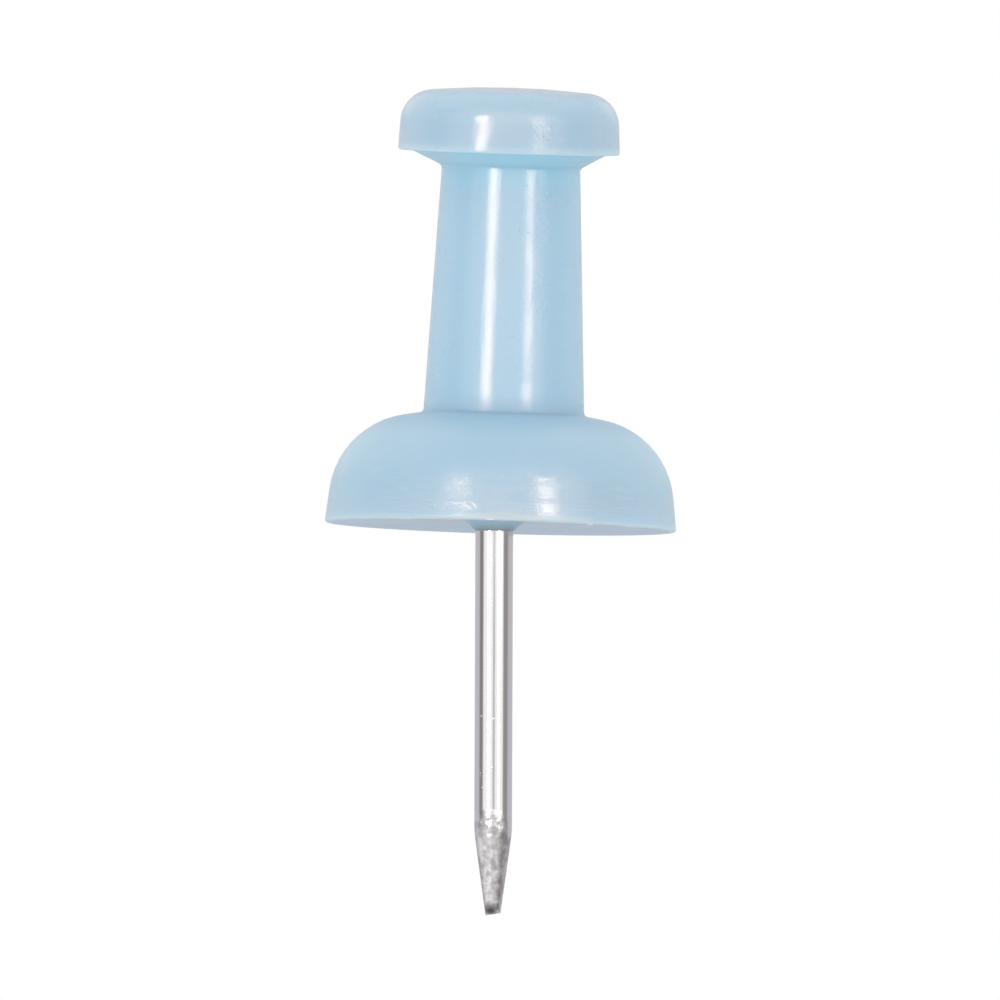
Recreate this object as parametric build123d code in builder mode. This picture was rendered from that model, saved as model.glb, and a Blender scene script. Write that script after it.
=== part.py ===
from build123d import *
from math import radians, tan
import os

# Push pin: a moulded plastic handle with a steel needle set in its base
# Lengths are in millimetres and angles in degrees
# The axis is Z, the underside of the base is at z = 0 and the needle points down

# Heights of the handle's parts, stacked upwards from the underside of the base
base_h = 2.82
shoulder_rise = 0.42
neck_h = 7.04
flare_h = 0.42
head_h = 1.63
crown_rise = 0.30

# Radii of the handle, and the draft of its two flanges
base_r = 5.05
base_draft = 7.0
neck_foot_r = 2.30
neck_top_r = 1.98
flare_r = 2.70
head_r = 3.17
head_draft = 3.0

# Roundings of the handle's corners, from the base up
base_edge_round = 0.12
base_round = 2.5
neck_foot_round = 0.1
neck_top_round = 0.12
flare_round = 0.3
crown_round = 0.95

# Share of a wall that the rounding at its end may take up
wall_share = 0.9

# Needle outside the handle: a plain shank and a blunt ground point
wire_r = 0.54
needle_out = 11.1
point_l = 2.4
point_end_r = 0.21
point_blend = 3.0

# Needle inside the handle: rings that the plastic grips, then a plain tail
ring_count = 5
ring_pitch = 1.1
ring_depth = 0.1
tail_l = 2.5
tail_chamfer = 0.2

# Heights worked out from the stack
neck_z = base_h + shoulder_rise
flare_z = neck_z + neck_h
head_z = flare_z + flare_h
crown_z = head_z + head_h
handle_top = crown_z + crown_rise
shank_end = point_l - needle_out
rings_end = ring_count * ring_pitch
needle_top = rings_end + tail_l

# Drafted walls lean in towards the axis as they rise
base_top_r = base_r - base_h * tan(radians(base_draft))
head_top_r = head_r - head_h * tan(radians(head_draft))


def limited(radius, before, corner, after):
    """The radius wanted at a corner, or the largest that its two walls can hold."""
    arriving = Vector(*corner) - Vector(*before)
    leaving = Vector(*after) - Vector(*corner)
    half_turn = radians(arriving.get_angle(leaving)) / 2
    return min(radius, wall_share * min(arriving.length, leaving.length) / tan(half_turn))


def limited_rounds(outline, rounds):
    """One radius for each inner corner of an outline, limited by the walls beside it."""
    corners = zip(rounds, outline, outline[1:], outline[2:])
    return [limited(radius, *walls) for radius, *walls in corners]


# Needle: turned steel wire, ring-shanked where the plastic is moulded round it
point_end = (point_end_r, -needle_out)
shank_outline = [point_end, (wire_r, shank_end), (wire_r, 0)]

with BuildPart() as needle:
    with BuildSketch(Plane.XZ):
        with BuildLine():
            Line((0, -needle_out), point_end)
            FilletPolyline(shank_outline, radius=limited(point_blend, *shank_outline))
            for ring in range(ring_count):
                ring_z = ring * ring_pitch
                Polyline(
                    (wire_r, ring_z),
                    (wire_r - ring_depth, ring_z + ring_pitch),
                    (wire_r, ring_z + ring_pitch),
                )
            Polyline(
                (wire_r, rings_end),
                (wire_r, needle_top - tail_chamfer),
                (wire_r - tail_chamfer, needle_top),
                (0, needle_top),
                (0, -needle_out),
            )
        make_face()
    revolve(axis=Axis.Z)

# Handle: one moulding, with a broad drafted base, a tapered neck and a flared, domed head
head_edge = (head_r, head_z)
crown_corner = (head_top_r, crown_z)
crown_top = (0, handle_top)
side_outline = [
    (0, 0),
    (base_r, 0),
    (base_top_r, base_h),
    (neck_foot_r, neck_z),
    (neck_top_r, flare_z),
    (flare_r, head_z),
    head_edge,
]
side_rounds = [base_edge_round, base_round, neck_foot_round, neck_top_round, flare_round]

with BuildPart() as handle:
    with BuildSketch(Plane.XZ) as profile:
        with BuildLine():
            FilletPolyline(side_outline, radius=limited_rounds(side_outline, side_rounds))
            # The mould parts at the head's lower edge, which is left sharp
            Line(head_edge, crown_corner)
            TangentArc(crown_top, crown_corner, tangent=(1, 0))
            Line(crown_top, side_outline[0])
        make_face()
        fillet(
            profile.vertices().sort_by_distance(crown_corner)[0],
            radius=limited(crown_round, head_edge, crown_corner, crown_top),
        )
    revolve(axis=Axis.Z)
    # The plastic is moulded onto the needle, so its cavity is the needle's own shape
    add(needle.part, mode=Mode.SUBTRACT)

needle.part.label = "needle"
handle.part.label = "handle"

os.makedirs("parts", exist_ok=True)
export_step(needle.part, "parts/needle.step")
export_step(handle.part, "parts/handle.step")
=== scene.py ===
import math
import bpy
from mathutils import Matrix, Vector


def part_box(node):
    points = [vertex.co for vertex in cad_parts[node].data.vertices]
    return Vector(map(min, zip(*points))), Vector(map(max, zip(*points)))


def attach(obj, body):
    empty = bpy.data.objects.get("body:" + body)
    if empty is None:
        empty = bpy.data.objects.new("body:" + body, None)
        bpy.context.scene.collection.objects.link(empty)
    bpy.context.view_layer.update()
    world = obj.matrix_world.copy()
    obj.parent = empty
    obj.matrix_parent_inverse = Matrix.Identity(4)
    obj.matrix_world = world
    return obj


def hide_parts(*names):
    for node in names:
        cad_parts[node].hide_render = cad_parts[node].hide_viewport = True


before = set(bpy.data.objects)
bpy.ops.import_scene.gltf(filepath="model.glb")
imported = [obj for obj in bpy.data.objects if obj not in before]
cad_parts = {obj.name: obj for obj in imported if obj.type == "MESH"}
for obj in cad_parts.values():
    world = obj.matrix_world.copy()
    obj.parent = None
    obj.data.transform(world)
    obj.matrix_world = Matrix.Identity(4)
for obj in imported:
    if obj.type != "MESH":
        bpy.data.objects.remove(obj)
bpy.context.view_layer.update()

from types import SimpleNamespace

import bmesh
import bpy
from bpy.props import FloatProperty, FloatVectorProperty, IntProperty, PointerProperty
from mathutils import Matrix, Vector

bl_info = {
    "name": "Push Pin",
    "version": (1, 0, 0),
    "blender": (4, 5, 0),
    "location": "View3D > Sidebar > Push Pin",
    "description": "Models a moulded push pin with its steel needle, and the studio it is shown in",
    "category": "Object",
}

MM = 0.001
IMAGE_SIDE = 1000
PIXELS_PER_MM = 35
HANDLE_LOW, HANDLE_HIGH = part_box("handle")
NEEDLE_LOW, NEEDLE_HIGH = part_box("needle")

# Points closer than this are the same point
WELD = 1e-7
# The handle keeps this far inside its box
INSIDE = 0.002 * MM
# Largest turn from one facet of a drawn arc to the next
ARC_STEP = math.radians(7)
# Edges that turn by more than this keep a crease when the piece is smoothed
CREASE = math.radians(32)
# Faces with an edge longer than this are straight walls, and shade as such up to the roundings beside them
LONG_EDGE = 0.4 * MM
# Planes that trim the needle's end: a place from its tip in millimetres, and the way that the plane faces
END_CUTS = (
    ((0, 0, 0.035), (0.14, 0, -1)),
    ((-0.06, -0.20, 0.20), (-0.12, -0.75, -0.65)),
)


def length(name, description, size):
    """A length that the user can set, given in metres."""
    return FloatProperty(name=name, description=description, default=size, precision=5, unit="LENGTH")


def angle(name, description, degrees):
    """An angle that the user can set, given in degrees."""
    return FloatProperty(name=name, description=description, default=math.radians(degrees), subtype="ANGLE")


def colour(name, description, rgb):
    """A colour that the user can set, as linear red, green and blue."""
    return FloatVectorProperty(
        name=name, description=description, default=rgb, subtype="COLOR", min=0, max=1
    )


def fraction(name, description, default):
    """A part of a whole that the user can set, from 0 to 1."""
    return FloatProperty(
        name=name, description=description, default=default, subtype="FACTOR", min=0, max=1
    )


def amount(name, description, default):
    """A plain number that the user can set."""
    return FloatProperty(name=name, description=description, default=default)


class HandleSettings(bpy.types.PropertyGroup):
    """Sizes and colours of the moulded handle."""

    collar_radius: length("Collar radius", "Top radius of the cone of plastic round the needle", 0.93 * MM)
    collar_height: length("Collar height", "How far that cone reaches below the base's rim", 0.11 * MM)
    collar_round: length("Collar round", "Radius where that cone meets the underside", 0.5 * MM)
    hollow: length("Hollow", "How far the underside has sunk round that cone", 0.22 * MM)
    rim_radius: length("Rim radius", "Inner radius of the rim that the base stands on", 4.75 * MM)
    rim_round: length("Rim round", "Radius where the sunk underside meets that rim", 2.0 * MM)
    lip_radius: length("Lip radius", "Radius of the base at its lower edge", -HANDLE_LOW.x - INSIDE)
    lip_round: length("Lip round", "Radius of the base's lower edge", 0.065 * MM)
    lip_lumps: length("Lip lumps", "How far lumps of flash hang below that edge", 0.08 * MM)
    lump_size: length("Lump size", "Size of those lumps", 0.6 * MM)
    base_top_radius: length("Base top radius", "Radius of the base's wall at its top", 4.704 * MM)
    base_height: length("Base height", "Height of the base's wall", 2.82 * MM)
    base_round: length("Base round", "Radius of the base's shoulder", 2.5 * MM)
    neck_foot: length("Neck foot", "Height of the neck's foot above the underside", 3.24 * MM)
    neck_foot_radius: length("Neck foot radius", "Radius of the neck at its foot", 2.30 * MM)
    neck_top: length("Neck top", "Height of the neck's top above the underside", 10.30 * MM)
    neck_top_radius: length("Neck top radius", "Radius of the neck at its top", 1.98 * MM)
    foot_round: length("Foot round", "Radius of the corner at the neck's foot", 0.12 * MM)
    neck_round: length("Neck round", "Radius of the corner at the neck's top", 0.14 * MM)
    head_foot: length("Head foot", "Height of the head's lower edge above the underside", 10.785 * MM)
    flare_radius: length("Flare radius", "Radius at which the flare under the head ends", 2.80 * MM)
    flare_round: length("Flare round", "Radius of the corner where the flare meets the head", 0.3 * MM)
    head_radius: length("Head radius", "Radius of the head at its lower edge", 3.17 * MM)
    head_edge: length("Head edge", "Radius of the head's lower edge", 0.06 * MM)
    head_draft: angle("Head draft", "Lean of the head's wall towards the axis", 3.0)
    head_shift: length("Head shift", "How far the mould left the head out of line", 0.075 * MM)
    head_tilt: angle("Head tilt", "How far the mould left the head out of square", 4.1)
    foot_tilt: angle("Foot tilt", "How far the mould left the neck's foot out of square", 2.2)
    tilt_reach: length("Tilt reach", "How far those tilts spread along the surface", 2.4 * MM)
    crown_round: length("Crown round", "Radius of the head's upper edge", 0.95 * MM)
    crown_radius: length("Crown radius", "Radius of the dome on top of the head", 24.0 * MM)
    plastic: colour("Plastic", "Colour of the plastic", (0.436, 0.632, 0.765))
    # Laid over the rubbed front of the base it is partly wear and partly a painted highlight
    scuff: colour("Scuff", "Colour of rubbed and scuffed plastic", (0.580, 0.700, 0.785))
    # Where it is laid along the base's lower edge it is in part a painted highlight
    flash: colour("Flash", "Colour of the thin moulding flash", (0.600, 0.665, 0.720))
    # Painted shade: a darker blue laid into the corner at the neck's foot
    foot_shade: colour("Deep", "Colour of the plastic in the corner at the neck's foot", (0.310, 0.520, 0.680))
    # Painted shade: the dark blue laid on the collar and on the underside round it
    shade: colour("Shade", "Colour of the plastic that creeps down the needle", (0.26, 0.46, 0.66))
    # Painted light: a lighter, bluer copy of the plastic laid over the flare, which lies in shade under the
    # head
    flare: colour("Flare", "Colour of the flare, which light shines through", (0.455, 0.760, 0.915))
    # Painted light: a lighter copy of the plastic laid over the neck
    thin: colour("Thin", "Colour of the neck, which light shines through", (0.470, 0.690, 0.835))
    # Painted highlight: the glint on the base's lower edge, and painted light round the collar
    glint: colour("Glint", "Colour of the chip in the base and of the collar's glow", (0.93, 0.95, 0.97))
    tint: colour("Tint", "Tint of the highlights on the plastic", (1.0, 0.72, 0.55))
    scatter: length("Scatter", "How far light spreads inside the plastic", 0.5 * MM)
    sides: IntProperty(name="Sides", description="Facets round the handle", default=256, min=32)


class NeedleSettings(bpy.types.PropertyGroup):
    """Sizes and colours of the steel needle."""

    radius: length("Radius", "Radius of the wire", NEEDLE_HIGH.x)
    point_length: length("Point length", "Length of the ground point", 2.4 * MM)
    point_radius: length("Point radius", "Radius of the blunt end", 0.21 * MM)
    point_blend: length("Point blend", "Radius where the point meets the wire", 3.0 * MM)
    flat_depth: fraction("Flat depth", "How far out the ground flats lie, as a share of the radius", 0.975)
    flat_start: angle("Flat start", "Direction that the first of the flats faces, from the X axis", -118)
    flat_count: IntProperty(name="Flats", description="Number of flats ground round the point", default=5)
    ring_pitch: length("Ring pitch", "Spacing of the rings that the plastic grips", 1.1 * MM)
    ring_depth: length("Ring depth", "Depth of the rings that the plastic grips", 0.1 * MM)
    ring_count: IntProperty(name="Rings", description="Number of rings that the plastic grips", default=5)
    tail_chamfer: length("Tail chamfer", "Chamfer on the end inside the handle", 0.2 * MM)
    lean: angle("Lean", "Lean of the needle to the side", 1.49)
    lean_back: angle("Lean back", "Lean of the needle's point towards the back", 2.0)
    lean_depth: length("Lean depth", "Depth at which the leaning needle crosses the axis", 6.8 * MM)
    clearance: length("Clearance", "Gap between the needle and its hole", 0.01 * MM)
    steel: colour("Steel", "Colour of the drawn wire", (0.715, 0.705, 0.705))
    speck: colour("Speck", "Colour of the bright specks on the wire", (0.85, 0.84, 0.85))
    ground: colour("Ground steel", "Colour of the ground point where it is clean", (0.66, 0.65, 0.655))
    ground_dark: colour("Dull steel", "Colour of the ground point where it is dull", (0.36, 0.35, 0.355))
    shear: colour("Shear", "Colour of the dark patch where the end was cut off", (0.10, 0.09, 0.10))
    sides: IntProperty(name="Sides", description="Facets round the needle", default=64, min=16)


class StageSettings(bpy.types.PropertyGroup):
    """Camera, lights, floor and studio wall."""

    distance: length("Distance", "Distance of the camera from the pin", 1.0)
    field: length("Field", "Width of the picture at the pin", IMAGE_SIDE / PIXELS_PER_MM * MM)
    elevation: angle("Elevation", "Height of the camera above the pin's base, as an angle", -2.32)
    roll: angle("Roll", "Turn of the camera about its line of sight", 1.7)
    aim_side: length("Aim to the side", "Place on the X axis that the camera looks at", -0.035 * MM)
    aim_height: length("Aim height", "Height above the base that the camera looks at", 0.775 * MM)
    ambient: amount("Ambient", "Strength of the light from all round", 1.08)
    zenith: amount("Zenith", "Strength of the light from straight above", 0.80)
    key_glow: amount("Key glow", "Brightness of the soft lamp that casts the shadow, where 1 is white", 0.5)
    key_side: length("Key side", "Width of that lamp", 0.30)
    key_distance: length("Key distance", "Distance of that lamp from the pin", 0.40)
    key_azimuth: angle("Key azimuth", "Direction of that lamp from the camera, negative on the left", -25)
    key_elevation: angle("Key elevation", "Height of that lamp above the pin's base, as an angle", 45)
    floor_size: length("Floor size", "Width of the floor", 2.0)
    floor_lift: amount("Floor lift", "Light added to the floor in the picture alone", 0.2)
    floor: colour("Floor", "Colour of the floor", (0.9, 0.9, 0.9))
    wall_radius: length("Wall radius", "Radius of the studio wall", 0.5)
    wall_glow: amount("Wall glow", "Brightness of the strips on the studio wall, where 1 is white", 12.0)
    strip: colour("Strip", "Colour of the strips on the studio wall", (1.0, 0.99, 0.98))
    panel: colour("Panel", "Share of that brightness on the pale panels", (0.098, 0.098, 0.098))
    gap: colour("Gap", "Share of that brightness between the panels", (0.052, 0.052, 0.052))
    sheen: colour("Sheen", "Share of that brightness in front, above the base", (0.17, 0.17, 0.17))
    wall_left: colour("Wall left", "Share of that brightness on the left", (0.026, 0.0235, 0.024))
    wall_right: colour("Wall right", "Share of that brightness on the right", (0.032, 0.030, 0.030))
    back_left: colour("Back left", "Share of that brightness behind, on the left", (0.056, 0.055, 0.059))
    back_right: colour("Back right", "Share of that brightness behind, on the right", (0.055, 0.054, 0.058))
    back_low: colour("Back low", "Share of that brightness behind and below", (0.044, 0.045, 0.051))
    card: colour("Card", "Share of that brightness on the pale card below", (0.108, 0.108, 0.108))


class PinSettings(bpy.types.PropertyGroup):
    """All that the user can set."""

    handle: PointerProperty(type=HandleSettings)
    needle: PointerProperty(type=NeedleSettings)
    stage: PointerProperty(type=StageSettings)


class Value:
    """A node's output. Arithmetic on it adds Math nodes."""

    def __init__(self, shader, socket):
        self.shader = shader
        self.socket = socket

    def math(self, operation, first, second):
        """A Math node on two values, either of which may be a plain number."""
        return self.shader.add("ShaderNodeMath", {"operation": operation}, {0: first, 1: second})

    def __add__(self, other):
        return self.math("ADD", self, other)

    def __sub__(self, other):
        return self.math("SUBTRACT", self, other)

    def __rsub__(self, other):
        return self.math("SUBTRACT", other, self)

    def __mul__(self, other):
        return self.math("MULTIPLY", self, other)

    __radd__ = __add__
    __rmul__ = __mul__


class Shader:
    """A node tree, and the one method that adds nodes to it."""

    def __init__(self, tree):
        self.tree = tree
        tree.nodes.clear()

    def add(self, kind, settings=None, inputs=None, output=0):
        """Add a node, set it up, fill its sockets, and return one of its outputs."""
        node = self.tree.nodes.new(kind)
        for name, setting in (settings or {}).items():
            setattr(node, name, setting)
        for socket, value in (inputs or {}).items():
            if isinstance(value, Value):
                self.tree.links.new(value.socket, node.inputs[socket])
            else:
                node.inputs[socket].default_value = value
        return Value(self, node.outputs[output]) if len(node.outputs) else None

    def place(self):
        """The point of the surface, in the piece's own space."""
        return self.add("ShaderNodeTexCoord", output="Object")

    def stretched(self, scale):
        """The point of the surface, scaled by a different amount along each axis."""
        return self.add("ShaderNodeMapping", inputs={"Vector": self.place(), "Scale": scale})

    def axes(self, place):
        """The X, Y and Z of a point."""
        return [self.add("ShaderNodeSeparateXYZ", inputs={"Vector": place}, output=axis) for axis in "XYZ"]

    def noise(self, place, scale, detail=2.0, roughness=0.5):
        """Smooth noise from 0 to 1, with this many lumps in a metre."""
        return self.add(
            "ShaderNodeTexNoise",
            inputs={"Vector": place, "Scale": scale, "Detail": detail, "Roughness": roughness},
        )

    def step(self, value, low, high, start=0.0, end=1.0):
        """A smooth step between two levels, as a value goes from low to high."""
        return self.add(
            "ShaderNodeMapRange",
            {"interpolation_type": "SMOOTHSTEP"},
            {"Value": value, "From Min": low, "From Max": high, "To Min": start, "To Max": end},
        )

    def fade(self, value, low, high):
        """A smooth step from 1 down to 0, as a value goes from low to high."""
        return self.step(value, low, high, 1.0, 0.0)

    def band(self, value, low, high, soft):
        """1 where a value lies between low and high, fading to 0 on both sides."""
        return self.step(value, low - soft, low) * self.fade(value, high, high + soft)

    def spot(self, centre, reach):
        """1 at a point of the surface, fading to 0 at a distance from it."""
        ends = {0: self.place(), 1: centre}
        away = self.add("ShaderNodeVectorMath", {"operation": "DISTANCE"}, ends, output="Value")
        return self.fade(away, 0.3 * reach, reach)

    def mix(self, share, first, second):
        """A blend of two colours, which are the sockets 6 and 7 of a Mix node."""
        return self.add("ShaderNodeMix", {"data_type": "RGBA"}, {0: share, 6: first, 7: second}, output=2)

    def coats(self, base, coats):
        """A colour with others laid over it in turn, each by its own share."""
        tone = rgba(base)
        for share, paint in coats:
            tone = self.mix(share, tone, rgba(paint))
        return tone

    def relief(self, layers):
        """Layers of relief on top of each other, each a pattern and its depth in metres."""
        below = {}
        for height, depth in layers:
            relief = self.add("ShaderNodeBump", inputs={"Height": height, "Distance": depth, **below})
            below = {"Normal": relief}
        return relief

    def blend(self, share, first, second):
        """A blend of two shaders."""
        return self.add("ShaderNodeMixShader", inputs={0: share, 1: first, 2: second})

    def surface(self, shader):
        """Make a shader the look of the material."""
        self.add("ShaderNodeOutputMaterial", inputs={"Surface": shader})


def rgba(values):
    """A colour setting as the four numbers that a socket takes."""
    return (*values, 1.0)


def new_material(name):
    """A material with an empty node tree, and the shader that fills it."""
    material = bpy.data.materials.new(name)
    material.use_nodes = True
    return material, Shader(material.node_tree)


def deselect_all():
    """Deselect every object, since an operator acts on all that is selected."""
    bpy.ops.object.select_all(action="DESELECT")


def select_points(mesh, wanted):
    """In edit mode, select the points for which a test on their place is true."""
    bpy.ops.mesh.select_mode(type="VERT")
    points = bmesh.from_edit_mesh(mesh)
    for point in points.verts:
        point.select = wanted(point.co)
    points.select_flush_mode()
    bmesh.update_edit_mesh(mesh)


def select_faces(mesh, wanted):
    """In edit mode, select the faces for which a test is true."""
    bpy.ops.mesh.select_mode(type="FACE")
    bpy.ops.mesh.select_all(action="DESELECT")
    faces = bmesh.from_edit_mesh(mesh)
    for face in faces.faces:
        face.select_set(wanted(face))
    bmesh.update_edit_mesh(mesh)


class Lathe:
    """Draws the half section of a turned piece in the XZ plane, and turns it about the Z axis."""

    def __init__(self, name, start):
        """Add a piece that is a single point yet, and start to draw there in edit mode."""
        deselect_all()
        bpy.ops.mesh.primitive_plane_add(size=MM)
        self.piece = bpy.context.object
        self.piece.name = name
        self.piece.data.name = name
        bpy.ops.object.mode_set(mode="EDIT")
        bpy.ops.mesh.select_mode(type="VERT")
        bpy.ops.mesh.merge(type="CENTER")
        bpy.ops.transform.translate(value=(start.x, 0, start.y))
        self.at = start

    def line_to(self, end):
        """Draw a straight run."""
        run = end - self.at
        bpy.ops.mesh.extrude_region_move(TRANSFORM_OT_translate={"value": (run.x, 0, run.y)})
        self.at = end

    def arc(self, centre, turn):
        """Draw an arc about a centre, anticlockwise where the turn is positive."""
        steps = max(2, math.ceil(abs(turn) / ARC_STEP))
        bpy.ops.mesh.spin(steps=steps, angle=turn, center=(centre.x, 0, centre.y), axis=(0, 1, 0))
        self.at = centre + Matrix.Rotation(turn, 2) @ (self.at - centre)

    def rounded(self, corners, rounds):
        """Draw runs from corner to corner, with an arc at each inner corner, and end at the last one."""
        path = [self.at, *corners]
        for before, corner, after, radius in zip(path, path[1:], path[2:], rounds):
            arriving = (corner - before).normalized()
            leaving = (after - corner).normalized()
            turn = math.atan2(arriving.cross(leaving), arriving.dot(leaving))
            self.line_to(corner - arriving * radius * math.tan(abs(turn) / 2))
            if radius > 0:
                self.arc(self.at + arriving.orthogonal() * math.copysign(radius, turn), turn)
        self.line_to(corners[-1])

    def turn(self, sides):
        """Turn the section into a closed piece, and leave it in edit mode."""
        bpy.ops.mesh.select_all(action="SELECT")
        bpy.ops.mesh.spin(steps=sides, angle=math.tau, center=(0, 0, 0), axis=(0, 0, 1))
        bpy.ops.mesh.select_all(action="SELECT")
        bpy.ops.mesh.remove_doubles(threshold=WELD)
        bpy.ops.mesh.normals_make_consistent(inside=False)
        return self.piece


def finish_piece(piece, node, material):
    """Smooth a piece, give it its material and let it stand for its CAD node."""
    bpy.ops.object.mode_set(mode="EDIT")
    select_faces(piece.data, lambda face: max(edge.calc_length() for edge in face.edges) > LONG_EDGE)
    bpy.ops.mesh.mod_weighted_strength(set=True, face_strength="STRONG")
    bpy.ops.object.mode_set(mode="OBJECT")
    if not piece.data.polygons:
        raise RuntimeError(piece.name + " has no faces")
    bpy.ops.object.shade_smooth_by_angle(angle=CREASE)
    bpy.ops.object.modifier_add(type="WEIGHTED_NORMAL")
    flats = piece.modifiers[-1]
    flats.keep_sharp = True
    flats.use_face_influence = True
    bpy.ops.object.modifier_apply(modifier=flats.name)
    piece.data.materials.append(material)
    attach(piece, "root")
    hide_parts(node)


def spreading(reach):
    """Settings of a transform that takes the surface around the selected points with it, out to a reach."""
    return {
        "use_proportional_edit": True,
        "use_proportional_connected": True,
        "proportional_edit_falloff": "SMOOTH",
        "proportional_size": reach,
    }


def lean_points(needle):
    """Lean the selected points as the needle leans."""
    crossing = (0, 0, -needle.lean_depth)
    bpy.ops.transform.rotate(value=needle.lean, orient_axis="Y", center_override=crossing)
    bpy.ops.transform.rotate(value=-needle.lean_back, orient_axis="X", center_override=crossing)


def plastic_patterns(shader):
    """The noise that the plastic's marks come from, from the broadest to the finest, and its scratches."""
    place = shader.place()
    return SimpleNamespace(
        cloud=shader.noise(place, 350, detail=3),
        patch=shader.noise(place, 800),
        swell=shader.noise(place, 900, detail=1),
        ragged=shader.noise(place, 1500),
        speckle=shader.noise(place, 5200),
        pits=shader.noise(place, 7000, detail=1),
        grain=shader.noise(place, 11000),
        scratches=shader.noise(shader.stretched((1300, 1300, 14000)), 1.0, detail=1),
    )


def plastic_zones(shader, handle):
    """Parts of the handle's surface, each 1 inside and fading to 0 at its borders."""
    side, depth, height = shader.axes(shader.place())
    # The zones next to the neck's foot and the head are tilted as these are
    foot_level = height - depth * math.tan(handle.foot_tilt)
    head_level = height - depth * math.tan(handle.head_tilt)
    rim_start = handle.rim_radius + 0.05 * MM
    rim_end = handle.rim_radius + 0.18 * MM
    under = shader.fade(side * side + depth * depth, rim_start ** 2, rim_end ** 2)
    under = under * shader.fade(height, 0.3 * MM, 0.45 * MM)
    collar_middle = Vector((-0.18, -0.24, 0.05)) * MM
    foot = shader.step(foot_level, handle.neck_foot - 0.7 * MM, handle.neck_foot - 0.05 * MM)
    flare = shader.step(head_level, handle.neck_top - 1.0 * MM, handle.neck_top + 0.1 * MM)
    edge_low = handle.head_foot - 0.05 * MM
    return SimpleNamespace(
        under=under,
        above=1 - under,
        collar=shader.spot(collar_middle, 1.15 * MM),
        around_collar=shader.spot(collar_middle, 2.0 * MM),
        base_wall=shader.band(height, 0.35 * MM, 0.42 * handle.base_height, 0.3 * MM),
        foot=foot * shader.fade(foot_level, handle.neck_foot, handle.neck_foot + 0.15 * MM),
        neck=shader.band(height, handle.neck_foot + 0.45 * MM, handle.neck_top - 0.25 * MM, 0.3 * MM),
        flare=flare * shader.fade(head_level, handle.head_foot - 0.06 * MM, handle.head_foot),
        head_edge=shader.band(head_level, edge_low, handle.head_foot + 0.1 * MM, 0.1 * MM),
        head=shader.step(head_level, edge_low, handle.head_foot + 0.15 * MM),
    )


def plastic_marks(shader, pattern, zone):
    """Marks of moulding and of use, and the mask of a painted glint, each 1 where it is plainest."""
    side, depth, height = shader.axes(shader.place())
    # The base is rubbed and scratched at the front, and less on the left
    held = shader.fade(depth, -3.8 * MM, -2.8 * MM) * shader.step(side, -1.5 * MM, 1.0 * MM, 0.6, 1.0)
    lines = pattern.scratches - shader.step(side, -0.5 * MM, 0.5 * MM, 0.07, 0.0)
    # Flash climbs up the base's lower edge to a ragged border, and a small painted glint sits on that edge
    # at the front
    flash_top = shader.step(pattern.patch, 0.4, 0.6, 0.08 * MM, 0.16 * MM)
    flash_top = flash_top + shader.spot(Vector((0.9, -4.9, 0)) * MM, 2.2 * MM) * 0.12 * MM
    border = height - flash_top + (pattern.ragged * 0.2 + pattern.speckle * 0.1 - 0.15) * MM
    painted_glint = shader.spot(Vector((-0.31, -5.02, 0.02)) * MM, 0.18 * MM)
    # Matt dots break up the highlights, in a rough spot on the head, in one on the neck and along a seam
    rough = shader.spot(Vector((0.9, -2.95, 11.35)) * MM, 0.55 * MM)
    rough = rough + shader.spot(Vector((0.5, -2.2, 4.45)) * MM, 0.5 * MM)
    seam = shader.band(side, 0.55 * MM, 1.1 * MM, 0.15 * MM) * shader.fade(depth, -1.0 * MM, 0) * zone.neck
    dotted = rough + seam * shader.step(pattern.patch, 0.48, 0.60, 0.0, 0.8)
    scuffs = shader.step(pattern.speckle, 0.66, 0.74) * shader.step(pattern.patch, 0.46, 0.58)
    edge_scuffs = shader.step(pattern.speckle, 0.50, 0.62) * shader.step(pattern.ragged, 0.42, 0.55)
    return SimpleNamespace(
        rubbed=zone.base_wall * held * shader.step(lines, 0.42, 0.47, 0.0, 1.15),
        flash=shader.fade(border, -0.03 * MM, 0.03 * MM) * zone.above,
        painted_glint=painted_glint * shader.fade(height, 0.01 * MM, 0.05 * MM),
        rough=rough,
        matt=dotted * shader.fade(pattern.grain, 0.44, 0.52),
        pits=shader.fade(pattern.pits, 0.26, 0.34) * shader.step(pattern.patch, 0.52, 0.60),
        scuffs=scuffs + zone.head_edge * edge_scuffs,
    )


def plastic_colour(shader, handle, pattern, zone, mark):
    """The plastic's own colour, with the colours of its zones and marks laid over it, painted light and
    shade among them.
    """
    side, _, height = shader.axes(shader.place())
    return shader.coats(handle.plastic, [
        (shader.step(pattern.cloud, 0.3, 0.7, 0.0, 0.12) * zone.above, handle.scuff),
        # Painted light: the neck is made lighter than the rest of the plastic
        (zone.neck * 0.8, handle.thin),
        (zone.head * 0.15, handle.scuff),
        # Painted shade in the corner at the neck's foot
        (zone.foot * 0.6, handle.foot_shade),
        # Painted light: the plastic round the collar is made a little paler
        (zone.around_collar * 0.1, handle.glint),
        # Painted shade on the collar and on the underside round it
        (zone.collar, handle.shade),
        (shader.step(height, 0.2 * MM, 1.0 * MM, 0.2, 0.0) * zone.above, handle.flash),
        (zone.head_edge * 0.5, handle.scuff),
        # Painted light on the shaded flare under the head
        (zone.flare, handle.flare),
        (mark.scuffs * zone.above * 0.5, handle.scuff),
        # Partly wear and partly a painted highlight: the rubbed front of the base is paler where its
        # highlights fall
        (mark.rubbed * 0.25, handle.scuff),
        # Partly moulding flash and partly a painted highlight along the base's lower edge
        (mark.flash * shader.step(side * side, 0, (4 * MM) ** 2, 0.8, 0.3), handle.flash),
        # Painted glint on the base's lower edge
        (mark.painted_glint, handle.glint),
    ])


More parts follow.
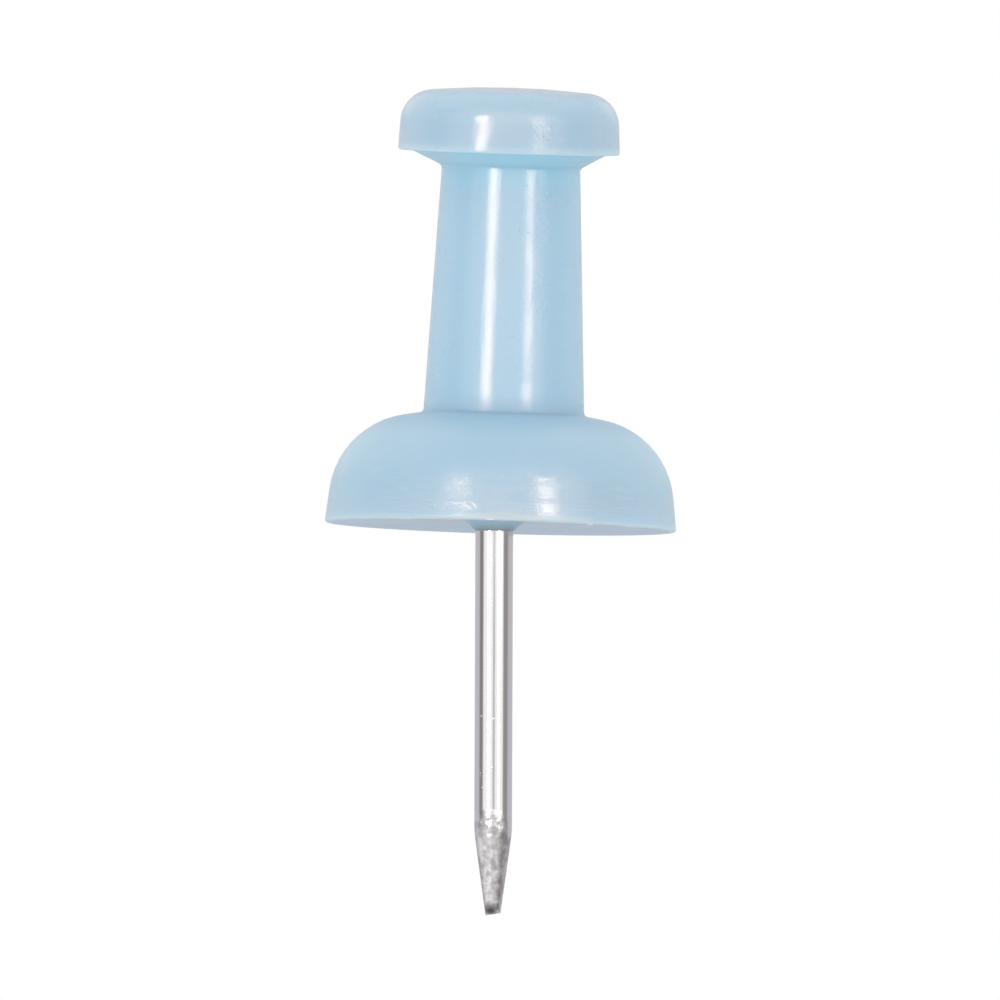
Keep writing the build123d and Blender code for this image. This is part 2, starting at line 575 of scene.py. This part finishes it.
def plastic_relief(shader, pattern, zone, mark):
    """Swells, grain, scratches and pits."""
    side, _, _ = shader.axes(shader.place())
    left = shader.fade(side, -1.5 * MM, 0.5 * MM)
    fine = pattern.speckle + pattern.grain
    return shader.relief([
        (pattern.swell * zone.above, 0.008 * MM),
        (pattern.grain * zone.above, 0.006 * MM),
        (fine * zone.neck, 0.0012 * MM),
        (fine * mark.rough, 0.006 * MM),
        (pattern.scratches * zone.base_wall, 0.003 * MM),
        (pattern.grain * zone.base_wall * left, 0.006 * MM),
        (mark.pits * (zone.neck + zone.head), -0.012 * MM),
    ])


def plastic_material(handle):
    """Slightly clouded plastic, polished on the neck and head, and satin on the scuffed base."""
    material, shader = new_material("blue_plastic")
    pattern = plastic_patterns(shader)
    zone = plastic_zones(shader, handle)
    mark = plastic_marks(shader, pattern, zone)
    body = {
        "Base Color": plastic_colour(shader, handle, pattern, zone, mark),
        "Normal": plastic_relief(shader, pattern, zone, mark),
        "Specular Tint": rgba(handle.tint),
        "Subsurface Weight": 0.9,
        "Subsurface Radius": (0.6, 1.0, 1.2),
        "Subsurface Scale": handle.scatter,
    }
    satin = shader.add("ShaderNodeBsdfPrincipled", inputs={
        **body,
        "Roughness": shader.step(pattern.patch, 0.35, 0.7, 0.30, 0.40) + mark.scuffs * 0.12,
        "Specular IOR Level": 0.35,
    })
    polished = shader.add("ShaderNodeBsdfPrincipled", inputs={**body, "Roughness": 0.13, "IOR": 1.65})
    gloss = (zone.neck + zone.head) * (1 - mark.matt) + zone.flare * 0.7 + mark.rubbed
    gloss = gloss + zone.under * (1 - zone.collar) * 0.8
    shader.surface(shader.blend(0.05 + gloss * 0.85, satin, polished))
    return material


def steel_material(needle):
    """Drawn wire with fine lines along it, and a rough, mottled ground point."""
    material, shader = new_material("needle_steel")
    place = shader.place()
    side, _, height = shader.axes(place)
    off_middle = side * side
    tip = Vector((0, 0, NEEDLE_LOW.z))
    shank_end = NEEDLE_LOW.z + needle.point_length
    drawn = shader.noise(shader.stretched((9000, 9000, 300)), 1.0, detail=3)
    specks = shader.step(shader.noise(place, 6500, detail=1), 0.74, 0.80)
    mottle = shader.step(shader.noise(place, 4500, detail=4, roughness=0.6), 0.32, 0.66)
    # The grinding ends at a ragged border, which lies furthest up the wire in the middle
    border = height + shader.noise(place, 2600) * 0.9 * MM + off_middle * (2.0 / MM)
    ground = shader.fade(border, shank_end + 0.85 * MM, shank_end + 1.15 * MM)
    # It leaves burrs where the point starts and a dark patch at the cut end; painted shade darkens a streak
    # up its middle
    burrs = shader.noise(place, 3000)
    burrs = burrs * shader.band(height, shank_end - 0.15 * MM, shank_end + 0.35 * MM, 0.25 * MM)
    painted_shade_streak = shader.step(height, shank_end - 0.3 * MM, shank_end + 0.2 * MM)
    painted_shade_streak = painted_shade_streak * shader.fade(off_middle, (0.15 * MM) ** 2, (0.35 * MM) ** 2)
    shear = shader.spot(tip + Vector((0.03, -0.04, 0.15)) * MM, 0.28 * MM)
    shear = shear * shader.step(mottle, 0.0, 0.6, 0.7, 1.0)
    wire = shader.coats(needle.steel, [(specks, needle.speck)])
    point = shader.coats(needle.ground_dark, [
        (mottle, needle.ground),
        # Painted shade up the middle of the point
        (painted_shade_streak * 0.8, needle.ground_dark),
        (shear, needle.shear),
    ])
    shader.surface(shader.add("ShaderNodeBsdfPrincipled", inputs={
        "Base Color": shader.mix(ground, wire, point),
        "Metallic": 1 - ground * 0.15,
        "Roughness": 0.09 + drawn * 0.04 + ground * 0.20,
        "Normal": shader.relief([
            (drawn, 0.001 * MM),
            (specks, 0.003 * MM),
            (burrs, 0.035 * MM),
            (mottle * ground, 0.004 * MM),
        ]),
    }))
    return material


class PUSHPIN_OT_handle(bpy.types.Operator):
    """Model the moulded handle"""

    bl_idname = "push_pin.handle"
    bl_label = "Handle"

    def execute(self, context):
        handle = context.scene.push_pin.handle
        needle = context.scene.push_pin.needle
        piece = self.turned(handle, needle)
        self.bore_leans(piece, handle, needle)
        head_foot = self.head_shifts(piece, handle)
        self.rings_tilt(piece, handle, head_foot)
        self.flash_hangs(piece, handle)
        finish_piece(piece, "handle", plastic_material(handle))
        return {"FINISHED"}

    def turned(self, handle, needle):
        """Turn the whole moulding from its half section, from the needle's hole to the crown."""
        bore = needle.radius + needle.clearance
        lathe = Lathe("push_pin_handle", Vector((0, NEEDLE_HIGH.z)))
        lathe.line_to(Vector((bore, NEEDLE_HIGH.z)))
        lathe.line_to(Vector((bore, -handle.collar_height)))
        lathe.rounded(
            [
                Vector((handle.collar_radius, handle.hollow)),
                Vector((handle.rim_radius, 0)),
                Vector((handle.lip_radius, 0)),
                Vector((handle.base_top_radius, handle.base_height)),
                Vector((handle.neck_foot_radius, handle.neck_foot)),
                Vector((handle.neck_top_radius, handle.neck_top)),
                Vector((handle.flare_radius, handle.head_foot)),
                Vector((handle.head_radius - handle.head_edge, handle.head_foot)),
            ],
            [
                handle.collar_round,
                handle.rim_round,
                handle.lip_round,
                handle.base_round,
                handle.foot_round,
                handle.neck_round,
                handle.flare_round,
            ],
        )
        self.head(lathe, handle)
        return lathe.turn(handle.sides)

    def head(self, lathe, handle):
        """Draw the head's lower edge, its drafted wall, its upper edge and its dome."""
        wall_turn = math.pi / 2 + handle.head_draft
        edge_centre = lathe.at + Vector((0, handle.head_edge))
        lathe.arc(edge_centre, wall_turn)
        wall = Vector((-math.sin(handle.head_draft), math.cos(handle.head_draft)))
        inward = Vector((-wall.y, wall.x))
        dome_centre = Vector((0, HANDLE_HIGH.z - handle.crown_radius))
        # The upper edge is tangent to the wall and to the dome, so its centre lies on two offsets of theirs
        track = lathe.at + inward * handle.crown_round - dome_centre
        reach = handle.crown_radius - handle.crown_round
        along = -track.dot(wall) + math.sqrt(track.dot(wall) ** 2 - track.length_squared + reach ** 2)
        round_centre = dome_centre + track + wall * along
        lathe.line_to(round_centre - inward * handle.crown_round)
        out = round_centre - dome_centre
        dome_angle = math.atan2(out.y, out.x)
        lathe.arc(round_centre, dome_angle - handle.head_draft)
        lathe.arc(dome_centre, math.pi / 2 - dome_angle)

    def bore_leans(self, piece, handle, needle):
        """Lean the needle's hole as the needle leans, and keep the collar round it."""
        edge = needle.radius + 2 * needle.clearance
        collar_edge = handle.collar_radius + handle.collar_round
        top = handle.hollow + WELD
        select_points(piece.data, lambda point: edge < point.xy.length < collar_edge and point.z < top)
        shift = [-needle.lean_depth * math.tan(lean) for lean in (needle.lean, needle.lean_back)]
        bpy.ops.transform.translate(value=(*shift, 0))
        select_points(piece.data, lambda point: point.xy.length < edge and point.z < NEEDLE_HIGH.z + WELD)
        lean_points(needle)

    def head_shifts(self, piece, handle):
        """Move the head a little to the side, as the mould left it, and return the height of its foot."""
        # The head also sinks by what its dome will gain when it is tilted
        dome_depth = handle.crown_radius - HANDLE_HIGH.z + handle.head_foot
        sink = dome_depth * (1 - math.cos(handle.head_tilt)) + INSIDE
        select_points(piece.data, lambda point: point.z > handle.head_foot - WELD)
        bpy.ops.transform.translate(
            value=(-handle.head_shift, 0, -sink),
            **spreading(handle.flare_radius - handle.neck_top_radius),
        )
        return handle.head_foot - sink

    def rings_tilt(self, piece, handle, head_foot):
        """Tilt the head and the neck's foot forwards, each about its own centre."""
        near_foot = 2 * handle.foot_round
        rings = [
            (lambda point: abs(point.z - handle.neck_foot) < near_foot, handle.neck_foot, handle.foot_tilt),
            (lambda point: point.z > head_foot - WELD, head_foot, handle.head_tilt),
        ]
        for wanted, middle, tilt in rings:
            select_points(piece.data, wanted)
            bpy.ops.transform.rotate(
                value=-tilt,
                orient_axis="X",
                center_override=(0, 0, middle),
                **spreading(handle.tilt_reach),
            )

    def flash_hangs(self, piece, handle):
        """Let a few lumps of flash hang below the base's edge at the front."""
        edge = handle.lip_radius - handle.lip_round
        front = -0.4 * handle.lip_radius

        def on_front_edge(point):
            return point.z < handle.lip_round and point.xy.length > edge and point.y < front

        select_points(piece.data, on_front_edge)
        group = piece.vertex_groups.new(name="flash")
        bpy.ops.object.vertex_group_assign()
        lumps = bpy.data.textures.new("flash", type="CLOUDS")
        lumps.noise_scale = handle.lump_size
        lumps.noise_depth = 3
        lumps.contrast = 3.5
        lumps.intensity = 0.15
        lumps.use_clamp = True
        bpy.ops.object.mode_set(mode="OBJECT")
        bpy.ops.object.modifier_add(type="DISPLACE")
        hang = piece.modifiers[-1]
        hang.texture = lumps
        hang.texture_coords = "LOCAL"
        hang.direction = "Z"
        hang.vertex_group = group.name
        hang.strength = -handle.lip_lumps
        hang.mid_level = 0.0
        bpy.ops.object.modifier_apply(modifier=hang.name)


class PUSHPIN_OT_needle(bpy.types.Operator):
    """Model the steel needle"""

    bl_idname = "push_pin.needle"
    bl_label = "Needle"

    def execute(self, context):
        needle = context.scene.push_pin.needle
        piece = self.turned(needle)
        self.point_ground(needle)
        bpy.ops.mesh.select_all(action="SELECT")
        lean_points(needle)
        finish_piece(piece, "needle", steel_material(needle))
        return {"FINISHED"}

    def turned(self, needle):
        """Turn the wire from its half section, from the point to the end inside the handle."""
        tip = NEEDLE_LOW.z
        top = NEEDLE_HIGH.z
        lathe = Lathe("push_pin_needle", Vector((0, tip)))
        lathe.line_to(Vector((needle.point_radius, tip)))
        shank_end = Vector((needle.radius, tip + needle.point_length))
        lathe.rounded([shank_end, Vector((needle.radius, 0))], [needle.point_blend])
        for ring in range(1, needle.ring_count + 1):
            ring_top = ring * needle.ring_pitch
            lathe.line_to(Vector((needle.radius - needle.ring_depth, ring_top)))
            lathe.line_to(Vector((needle.radius, ring_top)))
        lathe.line_to(Vector((needle.radius, top - needle.tail_chamfer)))
        lathe.line_to(Vector((needle.radius - needle.tail_chamfer, top)))
        lathe.line_to(Vector((0, top)))
        return lathe.turn(needle.sides)

    def point_ground(self, needle):
        """Grind flats round the point, and cut its end off askew."""
        slope = math.atan2(needle.radius - needle.point_radius, needle.point_length)
        tip = Vector((0, 0, NEEDLE_LOW.z))
        for flat in range(needle.flat_count):
            azimuth = needle.flat_start + math.tau * flat / needle.flat_count
            out = Vector((math.cos(azimuth), math.sin(azimuth), 0))
            near = tip + out * needle.point_radius * needle.flat_depth
            self.cut(near, out * math.cos(slope) - Vector((0, 0, math.sin(slope))))
        for place, facing in END_CUTS:
            self.cut(tip + Vector(place) * MM, Vector(facing))

    def cut(self, place, facing):
        """Cut away what lies beyond a plane, and close the cut."""
        bpy.ops.mesh.select_all(action="SELECT")
        bpy.ops.mesh.bisect(
            plane_co=place, plane_no=facing, use_fill=True, clear_outer=True, threshold=WELD
        )


class PUSHPIN_OT_stage(bpy.types.Operator):
    """Set up the floor, the background, the studio wall, the lamp and the camera"""

    bl_idname = "push_pin.stage"
    bl_label = "Stage"

    def execute(self, context):
        stage = context.scene.push_pin.stage
        self.floor(stage)
        self.background(context, stage)
        self.studio_wall(stage)
        self.key_lamp(stage)
        self.camera(context, stage)
        context.scene.view_settings.view_transform = "Standard"
        return {"FINISHED"}

    def floor(self, stage):
        """A pale floor at the needle's point, which the camera can look through from below."""
        deselect_all()
        bpy.ops.mesh.primitive_plane_add(size=stage.floor_size, location=(0, 0, NEEDLE_LOW.z))
        floor = bpy.context.object
        floor.name = "floor"
        floor.visible_glossy = False
        material, shader = new_material("pale_floor")
        camera_ray = shader.add("ShaderNodeLightPath", output="Is Camera Ray")
        from_below = shader.add("ShaderNodeNewGeometry", output="Backfacing")
        matt = shader.add("ShaderNodeBsdfDiffuse", inputs={"Color": rgba(stage.floor)})
        glow = shader.add("ShaderNodeEmission", inputs={"Strength": stage.floor_lift})
        lifted = shader.add("ShaderNodeAddShader", inputs={0: matt, 1: glow})
        lit = shader.blend(camera_ray, matt, lifted)
        clear = shader.add("ShaderNodeBsdfTransparent")
        shader.surface(shader.blend(camera_ray * from_below, lit, clear))
        floor.data.materials.append(material)

    def background(self, context, stage):
        """Light from all round, weaker from above, which the camera and mirrors see as white."""
        world = bpy.data.worlds.new("studio")
        world.use_nodes = True
        context.scene.world = world
        shader = Shader(world.node_tree)
        _, _, height = shader.axes(shader.add("ShaderNodeTexCoord", output="Generated"))
        horizon, zenith, white = [
            shader.add("ShaderNodeBackground", inputs={"Color": (1, 1, 1, 1), "Strength": strength})
            for strength in (stage.ambient, stage.zenith, 1.0)
        ]
        light = shader.blend(shader.step(height, 0.0, 1.0), horizon, zenith)
        camera_ray, glossy_ray, transmission_ray = [
            shader.add("ShaderNodeLightPath", output=ray)
            for ray in ("Is Camera Ray", "Is Glossy Ray", "Is Transmission Ray")
        ]
        light = shader.blend(camera_ray + glossy_ray + transmission_ray, light, white)
        shader.add("ShaderNodeOutputWorld", inputs={"Surface": light})

    def around(self, azimuth, elevation, distance):
        """A place round the pin, and the turn that faces the pin from there."""
        flat = distance * math.cos(elevation)
        out = Vector((flat * math.sin(azimuth), -flat * math.cos(azimuth), distance * math.sin(elevation)))
        return out, out.to_track_quat("Z", "Y").to_euler()

    def key_lamp(self, stage):
        """A soft lamp from the upper left, which casts the shadow and leaves no highlight."""
        place, turn = self.around(stage.key_azimuth, stage.key_elevation, stage.key_distance)
        deselect_all()
        bpy.ops.object.light_add(type="AREA", location=place, rotation=turn)
        lamp = bpy.context.object
        lamp.name = "key_lamp"
        lamp.data.size = stage.key_side
        lamp.data.energy = stage.key_glow * math.pi * stage.key_side ** 2
        lamp.visible_glossy = False

    def studio_wall(self, stage):
        """A round wall that only the gloss shows."""
        deselect_all()
        bpy.ops.mesh.primitive_cylinder_add(
            vertices=96,
            radius=stage.wall_radius,
            depth=3 * stage.wall_radius,
            end_fill_type="NOTHING",
            location=(0, 0, -stage.wall_radius / 2),
        )
        wall = bpy.context.object
        wall.name = "studio_wall"
        wall.visible_camera = False
        wall.visible_diffuse = False
        wall.visible_shadow = False
        wall.visible_transmission = False
        material, shader = new_material("studio_wall")
        tone = self.wall_tone(shader, stage)
        shader.surface(shader.add("ShaderNodeEmission", inputs={"Color": tone, "Strength": stage.wall_glow}))
        wall.data.materials.append(material)

    def wall_tone(self, shader, stage):
        """The wall's colour: a bright front, darker ends, a plain back and a pale card below the front."""
        # Lengths are shares of the wall's radius here, and heights count from the pin's base
        side, depth, height = [axis * (1 / stage.wall_radius) for axis in shader.axes(shader.place())]
        height = height - 0.5
        # Degrees round the wall from the camera, with the left side negative
        azimuth = side.math("ARCTAN2", side, 0 - depth) * math.degrees(1)
        right = shader.step(side, -0.5, 0.5)
        ends = shader.coats(stage.wall_left, [(right, stage.wall_right)])
        back = self.wall_back(shader, stage, right, depth, height, azimuth)
        tone = shader.mix(shader.step(depth, -0.05, 0.25), ends, back)
        front = self.wall_front(shader, stage, height, azimuth)
        tone = shader.mix(shader.band(azimuth, -60, 52, 14), tone, front)
        card = shader.coats(stage.card, [(shader.step(azimuth, -60, 80), stage.wall_right)])
        below = shader.fade(height, -0.2, -0.08) * shader.fade(depth, 0.2, 0.6)
        return shader.mix(below, tone, card)

    def wall_front(self, shader, stage, height, azimuth):
        """Two pale panels, with a bright strip on each of them."""
        # The strips stand a little further round where the neck mirrors them
        turned = azimuth - shader.band(height, 0.11, 0.15, 0.06) * 4.5
        left_strip = shader.band(turned, -34, -25, 3)
        right_strip = shader.band(turned, 27, 34, 3) * shader.step(height, 0, 0.1, 0.25, 0.9)
        strips = (left_strip + right_strip) * shader.band(height, -0.06, 0.55, 0.04)
        panels = (1 - shader.band(azimuth, -3, 6, 4)) * shader.fade(height, 0.6, 0.9)
        above = shader.step(height, -0.015, 0.04) * shader.band(azimuth, -30, 45, 28)
        return shader.coats(stage.gap, [
            (panels, stage.panel),
            (above, stage.sheen),
            (strips, stage.strip),
        ])

    def wall_back(self, shader, stage, right, depth, height, azimuth):
        """A plain back with two pale corners, darker below."""
        corners = shader.band(azimuth, -158, -138, 14) + shader.band(azimuth, 138, 158, 14)
        corners = corners * shader.band(height, 0.3, 0.6, 0.2)
        low = shader.fade(height, -0.03, 0) * shader.step(depth, 0.6, 0.85)
        return shader.coats(stage.back_left, [
            (right, stage.back_right),
            (corners * 0.6, stage.panel),
            (low, stage.back_low),
        ])

    def camera(self, context, stage):
        """A camera that frames the pin from just below its base."""
        aim = Vector((stage.aim_side, 0, stage.aim_height))
        out, _ = self.around(0, stage.elevation, stage.distance)
        turn = out.to_track_quat("Z", "Y").to_matrix() @ Matrix.Rotation(stage.roll, 3, "Z")
        bpy.ops.object.camera_add(location=aim + out, rotation=turn.to_euler())
        camera = bpy.context.object
        camera.data.lens = camera.data.sensor_width * stage.distance / stage.field
        camera.data.clip_start = stage.distance / 100
        camera.data.clip_end = stage.distance * 10
        context.scene.camera = camera


class PUSHPIN_PT_panel(bpy.types.Panel):
    """Lists the pieces and their settings"""

    bl_label = "Push Pin"
    bl_idname = "PUSHPIN_PT_panel"
    bl_space_type = "VIEW_3D"
    bl_region_type = "UI"
    bl_category = "Push Pin"

    def draw(self, context):
        """Draw a button and the settings for the handle, the needle and the stage."""
        for name in ("handle", "needle", "stage"):
            settings = getattr(context.scene.push_pin, name)
            box = self.layout.box()
            box.operator("push_pin." + name)
            for setting in settings.bl_rna.properties.keys():
                if setting not in ("rna_type", "name"):
                    box.prop(settings, setting)


CLASSES = (
    HandleSettings,
    NeedleSettings,
    StageSettings,
    PinSettings,
    PUSHPIN_OT_handle,
    PUSHPIN_OT_needle,
    PUSHPIN_OT_stage,
    PUSHPIN_PT_panel,
)


def register():
    """Make the classes known to Blender, and the settings part of the scene."""
    for cls in CLASSES:
        bpy.utils.register_class(cls)
    bpy.types.Scene.push_pin = PointerProperty(type=PinSettings)


def unregister():
    """Undo what register did."""
    del bpy.types.Scene.push_pin
    for cls in reversed(CLASSES):
        bpy.utils.unregister_class(cls)


def main():
    """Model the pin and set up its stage."""
    register()
    bpy.ops.push_pin.handle()
    bpy.ops.push_pin.needle()
    bpy.ops.push_pin.stage()


if __name__ == "__main__":
    main()
